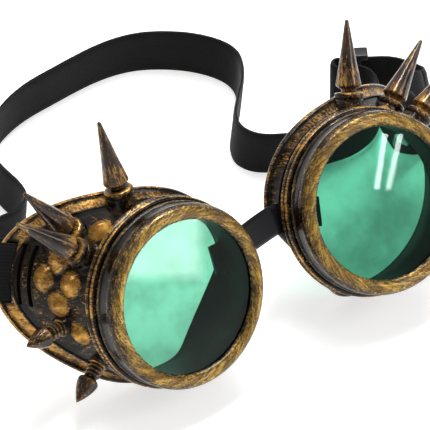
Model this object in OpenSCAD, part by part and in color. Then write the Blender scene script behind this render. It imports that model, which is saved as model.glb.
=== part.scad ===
/* [Resting pose] */
// Distance between the two lens axes at the front
lens_spacing = 78; // [74:0.5:90]
// Lean of the left cup's axis above the table
left_lean = 23.7; // [15:0.1:40]
// Lean of the right cup's axis above the table
right_lean = 32; // [15:0.1:40]
// Turn of the left cup's axis towards the nose
left_toe = 5.7; // [0:0.1:8]
// Turn of the right cup's axis towards the nose
right_toe = 0.2; // [0:0.1:8]
// Roll of the left cup about its axis, temple side up
left_roll = 7.2; // [-8:0.1:8]
// Roll of the right cup about its axis, temple side up
right_roll = -7.2; // [-8:0.1:8]

/* [Lens and ring] */
// Diameter of the clear opening in the ring's front
opening_d = 51; // [47:0.5:52]
// Diameter of the tinted lens
lens_d = 54.8; // [53.5:0.1:55]
// Thickness of the tinted lens
lens_t = 2; // [1.5:0.1:3]
// Gap round the lens edge
lens_gap = 0.4; // [0.3:0.05:0.6]
// Outer diameter of the ring
ring_d = 61.4; // [60.6:0.1:62]
// Length of the ring along the axis
ring_len = 9.6; // [8.5:0.1:10]
// Thickness of the ring's front lip
ring_lip_t = 2.2; // [1.8:0.1:2.6]
// Distance from the front to the step in the ring's side
ring_step = 4.4; // [3.4:0.1:5.4]
// Axial gap between ring, lens and neck
seat_gap = 0.1; // [0.05:0.05:0.2]

/* [Screw thread] */
// Outer diameter of the cup's neck
neck_d = 56.6; // [56:0.1:57]
// Inner diameter of the cup's neck
neck_bore_d = 51.6; // [48:0.1:52.4]
// Rise of the thread in one turn
thread_pitch = 3; // [2.6:0.1:3.4]
// Height of the thread above the neck
thread_h = 0.55; // [0.3:0.05:0.6]
// Radial gap between the thread and the opposite wall
thread_gap = 0.15; // [0.1:0.05:0.3]

/* [Cup] */
// Outer diameter of the double lip behind the ring
lip_d = 63.6; // [62.4:0.1:66]
// Distance from the front of the ring to the lip
lip_front = 10.5; // [10.3:0.1:12]
// Width of the double lip
lip_w = 4.3; // [3.6:0.1:5]
// Outer diameter of the wall behind the lip
wall_d = 57.8; // [57:0.1:60]
// Thickness of the cup's wall
wall_t = 2; // [1.6:0.1:2.4]
// Radius of the face rim above, below and beside the nose
rim_r = 33; // [32:0.1:36]
// Depth of the face rim on the nose side
rim_depth = 23.6; // [22:0.1:26]
// Extra depth of the face rim at the cheek
cheek_depth = 6; // [0:0.1:8]
// Radius of the face rim at the temple
temple_r = 47.6; // [44:0.1:50]
// Depth of the face rim at the temple
temple_depth = 44.5; // [43:0.1:47]
// Distance from the axis to the straight cut beside the nose
nose_cut = 26.6; // [26:0.1:32]
// Radius of the rolled edge of the face rim
bead_r = 1.7; // [1.4:0.1:2]

/* [Slots] */
// Depth of the nose slot behind the front
nose_slot_depth = 17.6; // [17:0.1:18.4]
// Direction of the nose slot round the axis
nose_slot_angle = 5.5; // [4:0.5:7]
// Gap between the bridge strip's faces and its slot
nose_slot_gap = 0.6; // [0.55:0.05:0.8]
// Gap between the bridge strip's edges and its slot
nose_slot_play = 1.2; // [1:0.1:1.6]
// Distance from the face rim at the temple to the rear temple slot
strap_slot_depth = 3.5; // [3.3:0.1:3.9]
// Width of the rear temple slot
strap_slot_w = 2.6; // [2.4:0.1:3]
// Number of narrow slots in front of the rear one
narrow_slots = 2; // [1:1:2]
// Width of the narrow slots
narrow_slot_w = 1.2; // [0.8:0.1:1.6]
// Distance from one temple slot to the next
slot_pitch = 3.4; // [3:0.1:3.4]

/* [Spikes and studs] */
// Length of a cone spike from its widest place to its tip
cone_len = 21.8; // [18:0.1:26]
// Widest diameter of a cone spike
cone_d = 8.7; // [8:0.1:9.4]
// Radius of a cone spike's rounded tip
cone_tip_r = 0.7; // [0.5:0.05:1]
// Height of the chamfer under a cone spike
cone_foot = 1.5; // [1:0.1:2]
// Diameter of the neck under a cone spike
cone_neck_d = 5; // [4.6:0.1:6]
// Length of the neck under a cone spike
cone_neck_len = 1; // [0.6:0.1:1.6]
// Diameter of the collars that carry the cone spikes
collar_d = 9.8; // [9:0.1:10.4]
// Distance from the axis to the top of the collars
collar_r = 36.9; // [36.4:0.1:38]
// Diameter of the screws that hold the cone spikes
screw_d = 2.8; // [2.4:0.1:3]
// Diameter of the screw heads
screw_head_d = 5.4; // [5:0.1:6]
// Height of the screw heads
screw_head_h = 1.4; // [1:0.1:1.8]
// Radial gap round the screws
screw_gap = 0.1; // [0.05:0.05:0.2]
// Length of a bullet spike's head
bullet_len = 9.4; // [8:0.1:12]
// Diameter of a bullet spike's head
bullet_d = 7.2; // [6.4:0.1:8]
// Length of a bullet spike's ribbed neck
bullet_neck_len = 5; // [4.5:0.1:6]
// Diameter of a bullet spike's neck between its ribs
bullet_neck_d = 4.4; // [4:0.1:5]
// Number of ribs on a bullet spike's neck
bullet_ribs = 3; // [2:1:3]
// Diameter of the round studs on the wall
stud_d = 7.8; // [7:0.1:8]
// Height of the round studs
stud_h = 2.6; // [2:0.1:3.4]

/* [Bridge strip and strap] */
// Width of the bridge strip
strip_w = 10; // [9:0.1:11]
// Thickness of the bridge strip
strip_t = 1; // [0.8:0.05:1.2]
// Length of the bridge strip inside the left cup
left_strip_tail = 5; // [4:0.1:12]
// Length of the bridge strip inside the right cup
right_strip_tail = 11.2; // [4:0.1:12]
// Width of the head strap
strap_w = 19; // [18:0.5:21]
// Thickness of the head strap
strap_t = 1.5; // [1.3:0.1:1.7]
// Gap between the strap's edges and the ends of its slots
strap_gap = 0.5; // [0.4:0.1:0.8]
// Lean of the strap where it stands on the table
strap_tilt = 9; // [0:0.5:12]
// Length of the slider along the strap
slider_len = 8; // [6:0.5:12]
// Thickness of the slider's bars
slider_bar = 1.4; // [1.2:0.1:2]
// Height of the slider's end pieces
slider_end = 2.2; // [1.6:0.1:3]

/* [Hidden] */
left = -1;
right = 1;
fine = 96;
// Number of wall sections round a cup
sections = 56;
// The temple's direction, the nose cut's and the cheek's, round the axis
temple_angle = 157;
nose_angle = 325;
cheek_angle = 252;
temple_sharpness = 6.6;
cheek_sharpness = 3;
// How much the nose cut's corners are rounded off
nose_blend = 2;
// Cone spikes: direction, depth, forward tilt and how far the collar stands back from collar_r
left_cones = [[98.5, 23, 4, 0.2], [131.5, 27.4, 9, 0], [141, 20.2, 0, 0.9]];
right_cones = [[101.3, 22.4, 0, 0.6], [134, 29, -3, -1], [143, 18.6, 0, -0.9]];
// Bullet spikes: direction, depth, forward tilt and height of the boss
side_bullet = [184.5, 26, 5, 2];
cheek_bullet = [217.5, 24.5, 6, 0.6];
bullet_seats = [side_bullet, cheek_bullet];
slot_angle = 158.5;
screw_reach = 5.5;

wall_r = wall_d / 2;
neck_r = neck_d / 2;
neck_bore_r = neck_bore_d / 2;
opening_r = opening_d / 2;
ring_r = ring_d / 2;
lip_r = lip_d / 2;
lip_back = lip_front + lip_w;
lens_r = lens_d / 2;
lens_front = ring_lip_t + seat_gap;
lens_back = lens_front + lens_t;
neck_front = lens_back + seat_gap;
ring_bore_r = neck_r + thread_h + thread_gap;
thread_start = neck_front + 0.9;
thread_steps = 48;
wall_start = lip_front + lip_w / 2;
rear_slot = temple_depth - strap_slot_depth;
front_slot = rear_slot - narrow_slots * slot_pitch;

// Round studs: direction and depth, the third one just in front of the slots
stud_to_slot = 0.3;
stud_seats = [[123, lip_back + 5], [148, lip_back + 11.2],
  [slot_angle, front_slot - narrow_slot_w / 2 - stud_to_slot - stud_d / 2],
  [159, lip_back + 6], [171, lip_back + 10.5], [190, lip_back + 6.7]];

// The origin lies on the table under the middle of the whole object
footprint = [5.55, 70.5, 0];
function on_footprint(p) = p - footprint;

function cone_seats(side) = side == left ? left_cones : right_cones;
// Everything that stands on the wall starts a little under its outer face
wall_root = wall_t * 0.6;
function foot_r(s) = wall_radius(s[0], s[1]) - wall_root;
function collar_h(s) = collar_r - s[3] - foot_r(s);

// Points and directions in a cup's own frame: X to the nose, Y up, Z out of the lens
function turn_z(a, p) = [p[0] * cos(a) - p[1] * sin(a), p[0] * sin(a) + p[1] * cos(a), p[2]];
function turn_x(a, p) = [p[0], p[1] * cos(a) - p[2] * sin(a), p[1] * sin(a) + p[2] * cos(a)];
function side_lean(side) = side == left ? left_lean : right_lean;
function side_toe(side) = side == left ? left_toe : right_toe;
function side_roll(side) = side == left ? left_roll : right_roll;
function mirrored(side, p) = [-side * p[0], p[1], p[2]];
function direction(side, p) =
  turn_z(-side * side_toe(side), turn_x(90 - side_lean(side),
    turn_z(side * side_roll(side), mirrored(side, p))));
function cup_at(side) = on_footprint([side * lens_spacing / 2, 0, rest(side)]);
function place(side, p) = cup_at(side) + direction(side, p);
function polar(r, a, depth) = [r * cos(a), r * sin(a), -depth];

// The face rim: its radius and its depth in direction a
function swell(a, middle, sharpness) = pow((1 + cos(a - middle)) / 2, sharpness);
function temple_part(a) = swell(a, temple_angle, temple_sharpness);
function round_rim(a) = rim_r + (temple_r - rim_r) * temple_part(a);
function nose_chord(a) = nose_cut / max(cos(a - nose_angle), 0.3);
function soft_min(a, b) = (a + b - sqrt(pow(a - b, 2) + pow(nose_blend, 2))) / 2;
function rim_radius(a) = soft_min(round_rim(a), nose_chord(a));
function rim_deep(a) = rim_depth + (temple_depth - rim_depth) * temple_part(a)
  + cheek_depth * swell(a, cheek_angle, cheek_sharpness);

// The wall between the lip and the rim, at part t of the way in direction a
function wall_power(a) = 2.4 - 1.4 * temple_part(a);
function bead_centre(a) = [rim_radius(a) - bead_r, rim_deep(a)];
function wall_end(a) = bead_centre(a) + [-0.2 * bead_r, -0.95 * bead_r];
function wall_point(a, t) = [wall_r + (wall_end(a)[0] - wall_r) * pow(t, wall_power(a)),
  wall_start + (wall_end(a)[1] - wall_start) * t];
function wall_radius(a, depth) =
  wall_point(a, (depth - wall_start) / (wall_end(a)[1] - wall_start))[0];
function wall_slope(a, depth) =
  atan2(wall_radius(a, depth + 1) - wall_radius(a, depth - 1), 2);
wall_steps = 6;
bead_angles = [-60, -25, 10, 45, 80, 115, 150];
function outer_side(a) = [for (i = [0:wall_steps]) wall_point(a, i / wall_steps)];
function bead(a) = [for (b = bead_angles) bead_centre(a) + bead_r * [cos(b), sin(b)]];
function inner_side(a) = [for (i = [wall_steps:-1:0])
  wall_point(a, i / wall_steps) - [wall_t, 0] + [0, i == wall_steps ? bead_r : 0]];
function section(a) = concat(outer_side(a), bead(a), inner_side(a));
function section_points(a) = [for (q = section(a)) polar(q[0], a, q[1])];
function height_above_table(side) = -min([for (i = [0:sections - 1])
  for (q = section_points(i * 360 / sections)) direction(side, q)[2]]);
left_rest = height_above_table(left);
right_rest = height_above_table(right);
function rest(side) = side == left ? left_rest : right_rest;

// A tube of closed sections, each a list of points, joined one to the next
function skin(rows, closed) = let (m = len(rows[0]), n = len(rows))
  [for (i = [0:n - (closed ? 1 : 2)]) for (j = [0:m - 1])
    for (f = [[i * m + j, i * m + (j + 1) % m, ((i + 1) % n) * m + (j + 1) % m],
      [i * m + j, ((i + 1) % n) * m + (j + 1) % m, ((i + 1) % n) * m + j]]) f];
function flat_all(rows) = [for (r = rows) for (p = r) p];
function outside(faces) = [for (f = faces) [f[0], f[2], f[1]]];
// The same for a bar of square sections, with its two ends closed
function bar(rows) = let (k = 4 * len(rows) - 4)
  concat(skin(rows, false), [[0, 2, 1], [0, 3, 2], [k, k + 1, k + 2], [k, k + 2, k + 3]]);

module seat(side) {
  translate(cup_at(side))
    rotate([0, 0, -side * side_toe(side)])
      rotate([90 - side_lean(side), 0, 0])
        rotate([0, 0, side * side_roll(side)])
          mirror([side == right ? 1 : 0, 0, 0]) children();
}

// Puts +Z along a direction that leaves the axis at angle a, tilted forward
module radial(a, r, depth, tilt) {
  rotate([0, 0, a]) translate([r, 0, -depth]) rotate([0, 90 - tilt, 0]) children();
}

module on_wall(s) {
  radial(s[0], foot_r(s), s[1], s[2]) children();
}

module turned(profile) {
  rotate_extrude($fn = fine) polygon(profile);
}

module wall() {
  rows = [for (i = [0:sections - 1]) section_points(i * 360 / sections)];
  polyhedron(points = flat_all(rows), faces = outside(skin(rows, true)), convexity = 6);
}

// Helical ridge from a first depth: rooted at radius r, its crest rise further out
module thread(r, rise, start, turns) {
  half_root = 0.7;
  half_crest = 0.25;
  rooted = 0.3;
  ramp = 4;
  last = round(thread_steps * turns);
  rows = [for (i = [0:last])
    let (a = i * 360 / thread_steps, crest = r + rise * min(1, i / ramp, (last - i) / ramp))
    [for (q = [[r - sign(rise) * rooted, -half_root], [crest, -half_crest], [crest, half_crest],
      [r - sign(rise) * rooted, half_root]])
      [q[0] * cos(a), -q[0] * sin(a), q[1] - start - thread_pitch * a / 360]]];
  polyhedron(points = flat_all(rows), faces = rise > 0 ? outside(bar(rows)) : bar(rows), convexity = 8);
}

// Both cups have the same hand of thread, so the mirrored one mirrors it back
module same_hand(side) {
  mirror([side == right ? 1 : 0, 0, 0]) children();
}

module neck_and_lip() {
  ridge = lip_w / 4;
  neck_bevel = 0.4;
  lip_bevel = 0.6;
  // Depth and half width of the groove between the two lips
  groove = 0.7;
  groove_half = ridge - 0.3;
  middle = -lip_front - 2 * ridge;
  turned([[neck_bore_r, -neck_front], [neck_r - neck_bevel, -neck_front], [neck_r, -neck_front - neck_bevel],
    [neck_r, -lip_front], [lip_r - lip_bevel, -lip_front], [lip_r, -lip_front - lip_bevel],
    [lip_r, middle + groove_half], [lip_r - groove, middle], [lip_r, middle - groove_half],
    [lip_r, -lip_back + lip_bevel], [lip_r - lip_bevel, -lip_back], [neck_bore_r, -lip_back]]);
}

module collar(s) {
  h = collar_h(s);
  r = collar_d / 2;
  // A bevelled cap over a groove, on a slightly narrower stem
  cap = 1.7;
  groove = 0.6;
  stem = r - 0.2;
  bevel = 0.5;
  on_wall(s)
    turned([[0, 0], [stem, 0], [stem, h - cap - 1.5 * groove], [r - groove, h - cap - groove], [r, h - cap],
      [r, h - bevel], [r - bevel, h], [0, h]]);
}

module stud(s) {
  depth = s[1];
  r = stud_d / 2;
  sink = 1;
  // Its outline from foot to top, as shares of its radius and height
  shares = [[1, 0], [0.62, 0.52], [0.2, 0.96], [0, 1]];
  radial(s[0], wall_radius(s[0], depth), depth, wall_slope(s[0], depth)) translate([0, 0, -sink])
    turned(concat([[0, 0], [r, 0]], [for (q = shares) [r * q[0], sink + stud_h * q[1]]]));
}

function boss_h(s) = wall_root + s[3];

module bullet_boss(s) {
  r = bullet_neck_d / 2;
  foot_ledge = 1.5;
  top_ledge = 0.8;
  on_wall(s) cylinder(r1 = r + foot_ledge, r2 = r + top_ledge, h = boss_h(s), $fn = 48);
}

module nose_slot() {
  rotate([0, 0, nose_slot_angle]) translate([wall_r, 0, -nose_slot_depth])
    cube([8 * wall_t, strip_w + 2 * nose_slot_play, strip_t + 2 * nose_slot_gap], center = true);
}

module temple_slots() {
  rotate([0, 0, slot_angle]) for (i = [0:narrow_slots]) {
    depth = rear_slot - i * slot_pitch;
    w = i == 0 ? strap_slot_w : narrow_slot_w;
    translate([wall_radius(slot_angle, depth), 0, -depth])
      cube([5 * wall_t, strap_w + 2 * strap_gap, w], center = true);
  }
}

// A screw's hole from inside the wall to the top of what stands on it
module screw_hole(s, top) {
  beyond = 3 * wall_t;
  on_wall(s) translate([0, 0, -beyond])
    cylinder(r = screw_d / 2 + screw_gap, h = top + 2 * beyond, $fn = 32);
}

module eye_cup(side) {
  color([0.42, 0.33, 0.18]) seat(side) difference() {
    union() {
      wall();
      neck_and_lip();
      same_hand(side) thread(neck_r, thread_h, thread_start, 1.4);
      for (s = cone_seats(side)) collar(s);
      for (s = stud_seats) stud(s);
      for (s = bullet_seats) bullet_boss(s);
    }
    nose_slot();
    temple_slots();
    for (s = cone_seats(side)) screw_hole(s, collar_h(s));
    for (s = bullet_seats) screw_hole(s, boss_h(s));
  }
}

module lens_ring(side) {
  r = ring_r;
  // The rounded front: distances from the opening's edge, then from the outside, each with its depth
  inner_curve = [[0, 1.5], [0.5, 0.8], [1.3, 0.25], [2.3, 0]];
  outer_curve = [[2, 0.2], [1, 0.8], [0.3, 1.8], [0, 2.8]];
  recess = 0.6;
  bevel = 0.3;
  back_band = 1;
  color([0.66, 0.5, 0.2]) seat(side) {
    turned(concat([[opening_r, -ring_lip_t]], [for (q = inner_curve) [opening_r + q[0], -q[1]]],
      [for (q = outer_curve) [r - q[0], -q[1]]],
      [[r, -ring_step], [r - recess, -ring_step - bevel], [r - recess, -ring_len + back_band + bevel],
      [r, -ring_len + back_band], [r, -ring_len + bevel], [r - bevel, -ring_len], [ring_bore_r, -ring_len],
      [ring_bore_r, -neck_front], [lens_r + lens_gap, -neck_front], [lens_r + lens_gap, -ring_lip_t]]));
    same_hand(side) rotate([0, 0, 180]) thread(ring_bore_r, -thread_h, thread_start, 1.1);
  }
}

module tinted_lens(side) {
  bevel = 0.3;
  color([0.35, 0.85, 0.65, 0.6]) seat(side)
    turned([[0, -lens_front], [lens_r - bevel, -lens_front], [lens_r, -lens_front - bevel],
      [lens_r, -lens_back + bevel], [lens_r - bevel, -lens_back], [0, -lens_back]]);
}

module cone_spike(side, s) {
  r = cone_d / 2;
  foot = cone_neck_len + cone_foot;
  rise = foot + cone_len - cone_tip_r;
  slope = atan((r - cone_tip_r) / (cone_len - cone_tip_r));
  hole = screw_d / 2 + screw_gap;
  hole_end = screw_reach + 0.5;
  drill_tip = 1;
  bevel = 0.4;
  neck = cone_neck_d / 2;
  tip = [for (b = [0:15:90]) let (c = mix(slope, 90, b / 90)) cone_tip_r * [cos(c), sin(c)] + [0, rise]];
  color([0.3, 0.23, 0.16]) seat(side) on_wall(s)
    translate([0, 0, collar_h(s)])
      turned(concat([[hole, 0], [neck, 0], [neck, cone_neck_len], [r - bevel, foot - bevel], [r, foot]], tip,
        [[0, hole_end + drill_tip], [hole, hole_end]]));
}

// How far the screw head's face lies behind the collar's foot, clear of the sloping wall
screw_clear = 1.5;
function screw_seat(s) = wall_root - 1.25 * wall_t / cos(wall_slope(s[0], s[1])) - screw_clear;

module spike_screws(side) {
  color([0.5, 0.5, 0.5]) seat(side) for (s = cone_seats(side))
    on_wall(s) translate([0, 0, screw_seat(s) - screw_head_h]) {
      cylinder(d = screw_head_d, h = screw_head_h, $fn = 48);
      cylinder(d = screw_d, h = screw_head_h + collar_h(s) + screw_reach - screw_seat(s), $fn = 32);
    }
}

module bullet_spike(side, s) {
  r = bullet_d / 2;
  neck = bullet_neck_d / 2;
  rib = bullet_neck_len / (bullet_ribs + 0.5);
  rib_h = 0.45;
  peg = 3;
  ribs = [for (i = [0:bullet_ribs - 1]) for (q = [[0.15, 0], [0.3, rib_h], [0.7, rib_h], [0.85, 0]])
    [neck + q[1], rib * (i + q[0])]];
  head = bullet_neck_len;
  widest = 1.2;
  bevel = 0.5;
  steps = 8;
  // The head narrows to its point in a curve
  curve = [for (i = [0:steps - 1]) let (t = i / steps)
    [r * (1 - pow(t, 1.55)), head + widest + (bullet_len - widest) * t]];
  color([0.35, 0.27, 0.18]) seat(side)
    on_wall(s) translate([0, 0, boss_h(s)])
      turned(concat([[0, -peg], [screw_d / 2, -peg], [screw_d / 2, 0], [neck, 0]], ribs,
        [[neck, head], [r - bevel, head + bevel]], curve, [[0, head + bullet_len]]));
}

// The bridge strip: straight through both nose slots, bent between them
// It sits high in the left slot and low in the right one
strip_shift = 0.8;
function slot_line(side, r) = place(side, polar(r, nose_slot_angle, nose_slot_depth))
  - side * strip_shift * slot_up(side);
function slot_up(side) = direction(side, [-sin(nose_slot_angle), cos(nose_slot_angle), 0]);
// How far the strip keeps the slots' direction before it bends
bend_ease = 0.3;
function unit(v) = v / norm(v);
function mix(a, b, t) = a + (b - a) * t;
function bend(a, da, b, db, t) = let (s = t * t * (3 - 2 * t), l = norm(b - a))
  a * (2 * t * t * t - 3 * t * t + 1) + b * s
  + l * bend_ease * (da * (t * t * t - 2 * t * t + t) + db * (t * t * t - t * t));
function band_ring(p, along, up, w, t) = let (n = unit(cross(along, up)), v = unit(cross(n, along)))
  [for (q = [[-1, -1], [1, -1], [1, 1], [-1, 1]]) p + q[0] * n * t / 2 + q[1] * v * w / 2];
straight_out = 1.4;
strip_out = rim_r + straight_out;
function strip_tail(side) = side == left ? left_strip_tail : right_strip_tail;
function strip_in(side) = wall_r - wall_t - strip_tail(side);
function strip_way(t) = bend(
  slot_line(left, strip_out), unit(slot_line(left, strip_out) - slot_line(left, 0)),
  slot_line(right, strip_out), unit(slot_line(right, 0) - slot_line(right, strip_out)), t);
strip_steps = 8;
strip_path = concat([for (r = [strip_in(left), wall_r - wall_t]) slot_line(left, r)],
  [for (i = [0:strip_steps]) strip_way(i / strip_steps)],
  [for (r = [wall_r - wall_t, strip_in(right)]) slot_line(right, r)]);
function strip_twist(i) = min(1, max(0, (i - 2) / strip_steps));

module band(path, ups, w, t) {
  n = len(path);
  rows = [for (i = [0:n - 1])
    band_ring(path[i], unit(path[min(i + 1, n - 1)] - path[max(i - 1, 0)]), ups[i], w, t)];
  polyhedron(points = flat_all(rows), faces = bar(rows), convexity = 10);
}

module bridge_strip() {
  ups = [for (i = [0:len(strip_path) - 1]) mix(slot_up(left), slot_up(right), strip_twist(i))];
  color([0.06, 0.06, 0.07]) band(strip_path, ups, strip_w, strip_t);
}

// The strap: through each rear slot, round the rim, down to the table and along it on edge
function slot_way(side, q) = place(side, polar(q[0], slot_angle, q[1]));
function strap_up(side) = direction(side, [sin(slot_angle), -cos(slot_angle), 0]);
slot_wall = wall_radius(slot_angle, rear_slot);
rim_top = rim_radius(slot_angle);
rim_far = rim_deep(slot_angle);
// Radius and depth of the strap's middle, from its sewn end in through the slot and back outside
strap_loop = [[slot_wall - 4.6, rim_far + 13], [slot_wall - 5.4, rim_far + 6],
  [slot_wall - 5.7, rim_far - 0.5], [slot_wall - 5.2, rear_slot + 1.2],
  [slot_wall - 4.2, rear_slot + 0.1], [slot_wall + 1.6, rear_slot],
  [rim_top + 0.2, rear_slot + 0.4], [rim_top + 1.5, rear_slot + 2.2],
  [rim_top + 1.7, rim_far + 0.6], [rim_top + 0.4, rim_far + 4],
  [slot_wall - 1.4, rim_far + 10], [slot_wall - 2.4, rim_far + 14]];
// The strap's middle along the table: x, y and height
slider_gap = 0.5;
table_gap = 0.1;
on_table = strap_w / 2 + table_gap;
on_slider = strap_w / 2 + slider_gap + slider_end;
strap_table = [[-91, 66, 31], [-96, 76, 23], [-94, 87, 16], [-85, 95, 11.5], [-71, 96, on_table],
  [-57, 95, on_table], [-47, 95, on_table], [-41, 99, on_table], [-39, 106, on_table],
  [-39, 116, on_table], [-38, 126, on_table], [-32, 136.5, on_table], [-22, 144.5, on_table],
  [-9, 150, on_table], [7, 152.5, on_table], [23, 154, on_table], [35, 153, on_table],
  [45, 149, on_table], [55.5, 140.5, on_table], [62, 130, on_table], [62.5, 120.5, on_table],
  [57, 110.5, on_table], [49, 101.5, on_table], [42.8, 94, on_table], [40.6, 87, on_table],
  [43.2, 80.2, on_table], [50.6, 75, on_table], [61, 70.8, on_table], [73, 68.5, 10.4],
  [82, 69.5, 11.3], [88.5, 72.7, 11.9], [92, 77, on_slider], [93.2, 82, on_slider],
  [92, 86, on_slider], [89.2, 88.5, on_slider], [86.2, 89.3, on_slider], [84.6, 91.2, on_slider],
  [84.9, 93.9, on_slider], [87, 94.7, on_slider], [89.6, 93.2, on_slider], [100, 86.9, on_slider],
  [104.2, 83.4, on_slider], [106.7, 79.3, on_slider], [108.2, 74.8, 12.5], [108.6, 70.3, 13.4],
  [106.9, 66.2, 15], [103, 63, 17.6], [97.5, 60.8, 20.5]];
strap_path = concat([for (q = strap_loop) slot_way(left, q)], [for (p = strap_table) on_footprint(p)],
  [for (i = [len(strap_loop) - 1:-1:0]) slot_way(right, strap_loop[i])]);
strap_count = len(strap_path);
loop_count = len(strap_loop);
// Its width follows the slots near the cups and stands on the table between, leaning up to upright_x
upright_x = 70;
function near_cup(steps) = 1 - min(1, max(0, steps / 5));
function tilt_at(p) = strap_tilt * min(1, max(0, (upright_x - p[0]) / 10));
function strap_lean(i) = let (l = near_cup(i - loop_count + 1), r = near_cup(strap_count - loop_count - i),
  tilt = tilt_at(strap_path[i]))
  strap_up(left) * l + strap_up(right) * r + [0, -sin(tilt), cos(tilt)] * (1 - l - r);

module head_strap() {
  ups = [for (i = [0:strap_count - 1]) strap_lean(i)];
  color([0.12, 0.12, 0.12]) band(strap_path, ups, strap_w, strap_t);
}

// The slider: end pieces above and below the strap, joined by a bar before and a bar behind it
slider_at = on_footprint([93.2, 91.02, on_slider]);
slider_turn = atan2(86.9 - 93.2, 100 - 89.6);
slider_bar_len = 3;
module strap_slider() {
  deep = strap_t + 2 * slider_gap + 2 * slider_bar;
  inner_h = strap_w + 2 * slider_gap;
  color([0.05, 0.05, 0.05]) translate(slider_at) rotate([0, 0, slider_turn]) {
    for (s = [-1, 1]) translate([0, 0, s * (inner_h + slider_end) / 2])
      cube([slider_len, deep, slider_end], center = true);
    for (s = [-1, 1]) translate([0, s * (deep - slider_bar) / 2, 0])
      cube([slider_bar_len, slider_bar, inner_h + slider_end], center = true);
  }
}

eye_cup(left);  // left_eye_cup
eye_cup(right);  // right_eye_cup
lens_ring(left);  // left_lens_ring
lens_ring(right);  // right_lens_ring
tinted_lens(left);  // left_tinted_lens
tinted_lens(right);  // right_tinted_lens
cone_spike(left, left_cones[0]);  // left_brow_spike
cone_spike(left, left_cones[1]);  // left_upper_spike
cone_spike(left, left_cones[2]);  // left_temple_spike
cone_spike(right, right_cones[0]);  // right_brow_spike
cone_spike(right, right_cones[1]);  // right_upper_spike
cone_spike(right, right_cones[2]);  // right_temple_spike
spike_screws(left);  // left_spike_screws
spike_screws(right);  // right_spike_screws
bullet_spike(left, side_bullet);  // left_side_bullet
bullet_spike(left, cheek_bullet);  // left_cheek_bullet
bullet_spike(right, side_bullet);  // right_side_bullet
bullet_spike(right, cheek_bullet);  // right_cheek_bullet
bridge_strip();  // nose_bridge_strip
head_strap();
strap_slider();
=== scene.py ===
import math

import bmesh
import bpy
from mathutils import Matrix, Vector
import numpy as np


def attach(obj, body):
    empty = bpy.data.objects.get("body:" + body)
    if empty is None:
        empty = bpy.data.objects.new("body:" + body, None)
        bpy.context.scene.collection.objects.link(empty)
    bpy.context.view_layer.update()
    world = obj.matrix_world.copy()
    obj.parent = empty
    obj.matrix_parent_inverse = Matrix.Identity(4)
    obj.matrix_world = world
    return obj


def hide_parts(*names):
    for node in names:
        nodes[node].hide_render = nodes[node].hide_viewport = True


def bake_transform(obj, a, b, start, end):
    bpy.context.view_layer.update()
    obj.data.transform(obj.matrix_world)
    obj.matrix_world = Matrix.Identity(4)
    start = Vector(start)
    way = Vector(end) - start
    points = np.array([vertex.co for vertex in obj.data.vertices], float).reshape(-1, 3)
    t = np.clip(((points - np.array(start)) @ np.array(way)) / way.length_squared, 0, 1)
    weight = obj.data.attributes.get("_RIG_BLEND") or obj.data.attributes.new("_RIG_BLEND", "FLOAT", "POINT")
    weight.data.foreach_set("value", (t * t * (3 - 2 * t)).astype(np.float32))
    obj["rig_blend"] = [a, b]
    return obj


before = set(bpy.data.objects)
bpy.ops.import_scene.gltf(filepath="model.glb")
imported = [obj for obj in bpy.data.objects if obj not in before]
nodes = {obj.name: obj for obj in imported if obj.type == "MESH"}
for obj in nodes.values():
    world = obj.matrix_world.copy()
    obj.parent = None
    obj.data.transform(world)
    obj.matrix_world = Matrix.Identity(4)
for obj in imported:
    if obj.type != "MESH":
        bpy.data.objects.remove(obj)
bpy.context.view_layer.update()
print("frame loaded:", len(nodes), "nodes")

mm = 0.001
sides = {"left": -1, "right": 1}


def inScene(name, data):
    made = bpy.data.objects.new(name, data)
    bpy.context.scene.collection.objects.link(made)
    return made


def meshOf(name, bm):
    mesh = bpy.data.meshes.new(name)
    bm.to_mesh(mesh)
    bm.free()
    return mesh


def turn(degrees, axis="Z"):
    return Matrix.Rotation(math.radians(degrees), 4, axis)


# camera: the photograph's direction, looked at from far off with a long lens
cameraView = {
    "turn": -35.3, "height": 42.0, "distance": 1.5, "lens": 376.7, "sensor": 36.0, "frame": 430,
    "aim": (-0.00555, -0.0705, 0.0),  # the point between the cups on the table
    "aimPixel": (289.45, 347.4), "clip": (0.05, 50),
}


def focalPixels():
    # the lens's focal length in pixels of the photograph
    s = cameraView
    return s["lens"] / s["sensor"] * s["frame"]


def makeCamera(s):
    a, e = math.radians(s["turn"]), math.radians(s["height"])
    back = Vector((math.sin(a) * math.cos(e), -math.cos(a) * math.cos(e), math.sin(e)))
    right = Vector((math.cos(a), math.sin(a), 0))
    up = back.cross(right)
    place = Vector(s["aim"]) + back * s["distance"]
    middle = s["frame"] / 2
    level = (-back).to_track_quat("-Z", "Y")
    aside = right * (middle - s["aimPixel"][0]) + up * (s["aimPixel"][1] - middle)
    ahead = (aside - back * focalPixels()).normalized()
    cam = inScene("photoCamera", bpy.data.cameras.new("photoCamera"))
    cam.data.lens, cam.data.sensor_width = s["lens"], s["sensor"]
    cam.data.clip_start, cam.data.clip_end = s["clip"]
    cam.location = place
    cam.rotation_mode = "QUATERNION"
    cam.rotation_quaternion = (-back).rotation_difference(ahead) @ level
    bpy.context.scene.camera = cam
    return cam


camera = makeCamera(cameraView)


def pixelRay(px, py):
    # direction from the camera through a pixel of the photograph
    middle = cameraView["frame"] / 2
    local = Vector((px - middle, middle - py, -focalPixels())).normalized()
    return camera.rotation_quaternion @ local


# the two cups' places, in millimetres, as in the part's source
cupPlace = {
    "left": {"lean": 23.7, "toe": 5.7, "roll": 7.2, "centre": (-44.55, -70.5, 41.775)},
    "right": {"lean": 32.0, "toe": 0.2, "roll": -7.2, "centre": (33.45, -70.5, 43.777)},
}


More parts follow.
